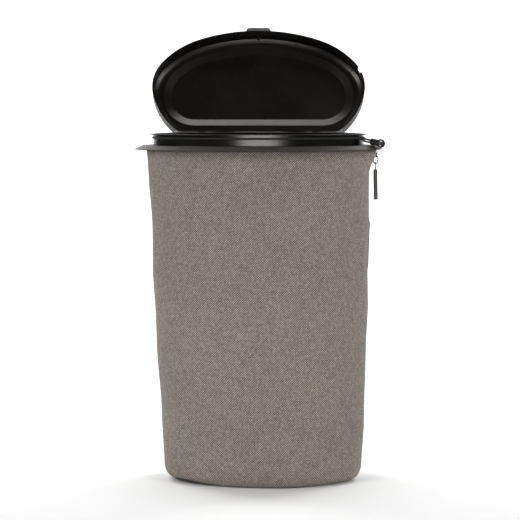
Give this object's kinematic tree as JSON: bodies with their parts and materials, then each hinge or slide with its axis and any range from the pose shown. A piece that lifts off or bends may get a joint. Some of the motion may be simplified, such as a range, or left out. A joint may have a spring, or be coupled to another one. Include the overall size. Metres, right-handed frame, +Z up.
{
  "type": "soft-sided lidded waste bin",
  "caption": "Tall grey woven fabric bin hung from a black oval rim, with a hinged lid leaning open, a liner cord with lock and a side zip.",
  "frame": {"origin": "centre of the base's underside, which rests on the floor", "axes": "+Z up, front faces -Y, lid hinge at the back (+Y), side zip and cord lock at +X"},
  "size_m": [0.2618, 0.2114, 0.4793],
  "materials": {
    "collar_plastic": "satin moulded",
    "ring_plastic": "glossy moulded",
    "lid_plastic": "semi-gloss moulded",
    "hem_plastic": "plain",
    "pin_steel": "drawn wire",
    "cord_elastic": "braided",
    "lock_plastic": "satin moulded",
    "spring_steel": "wire",
    "bag_fabric": "coarse woven melange",
    "board": "plain",
    "tape_fabric": "woven tape",
    "teeth_plastic": "moulded",
    "slider_metal": "black lacquer",
    "puller_plastic": "soft satin"
  },
  "bodies": {
    "bin": {"collar_ring": "collar_plastic", "inner_ring": "ring_plastic", "hem_band": "hem_plastic", "hinge_pins": "pin_steel", "drawcord": "cord_elastic", "cord_knot": "cord_elastic", "cord_lock_body": "lock_plastic", "cord_lock_spring": "spring_steel", "cover_wall": "bag_fabric", "cover_bottom": "bag_fabric", "base_board": "board", "zipper_tape_front": "tape_fabric", "zipper_tape_rear": "tape_fabric", "zipper_teeth_front": "teeth_plastic", "zipper_teeth_rear": "teeth_plastic", "zipper_top_stops": "teeth_plastic", "zipper_bottom_stop": "teeth_plastic", "zipper_end_tab": "tape_fabric"},
    "lid": {"lid_shell": "lid_plastic"},
    "lock_button": {"cord_lock_plunger": "lock_plastic"},
    "zip_slider": {"zipper_slider": "slider_metal"},
    "zip_tab": {"zipper_pull_tab": "slider_metal"},
    "zip_ring": {"puller_ring": "slider_metal"},
    "zip_grip": {"puller_cord": "cord_elastic", "puller_tube": "puller_plastic"}
  },
  "joints": [
    {"name": "lid_hinge", "type": "hinge", "parent": "bin", "child": "lid", "pos_m": [0, 0.0595, 0.3609], "axis": [1, 0, 0], "range_deg": [0, 118]},
    {"name": "lock_press", "type": "slide", "parent": "bin", "child": "lock_button", "axis": [0, 1, 0], "range_m": [0, 0.002], "stiffness_N_per_m": 400, "springref_m": -0.001, "deforming": ["cord_lock_spring"]},
    {"name": "zip_slide", "type": "slide", "parent": "bin", "child": "zip_slider", "axis": [-0.0334, 0, -0.9994], "range_m": [0, 0.29]},
    {"name": "tab_hinge", "type": "hinge", "parent": "zip_slider", "child": "zip_tab", "pos_m": [0.12364, 0, 0.34525], "axis": [0, -1, 0], "range_deg": [0, 90]},
    {"name": "ring_swing", "type": "hinge", "parent": "zip_tab", "child": "zip_ring", "pos_m": [0.12364, 0, 0.34195], "axis": [1, 0, 0], "range_deg": [-45, 45]},
    {"name": "grip_swing", "type": "hinge", "parent": "zip_ring", "child": "zip_grip", "pos_m": [0.12254, 0, 0.33413], "axis": [1, 0, 0], "range_deg": [-45, 45]}
  ]
}
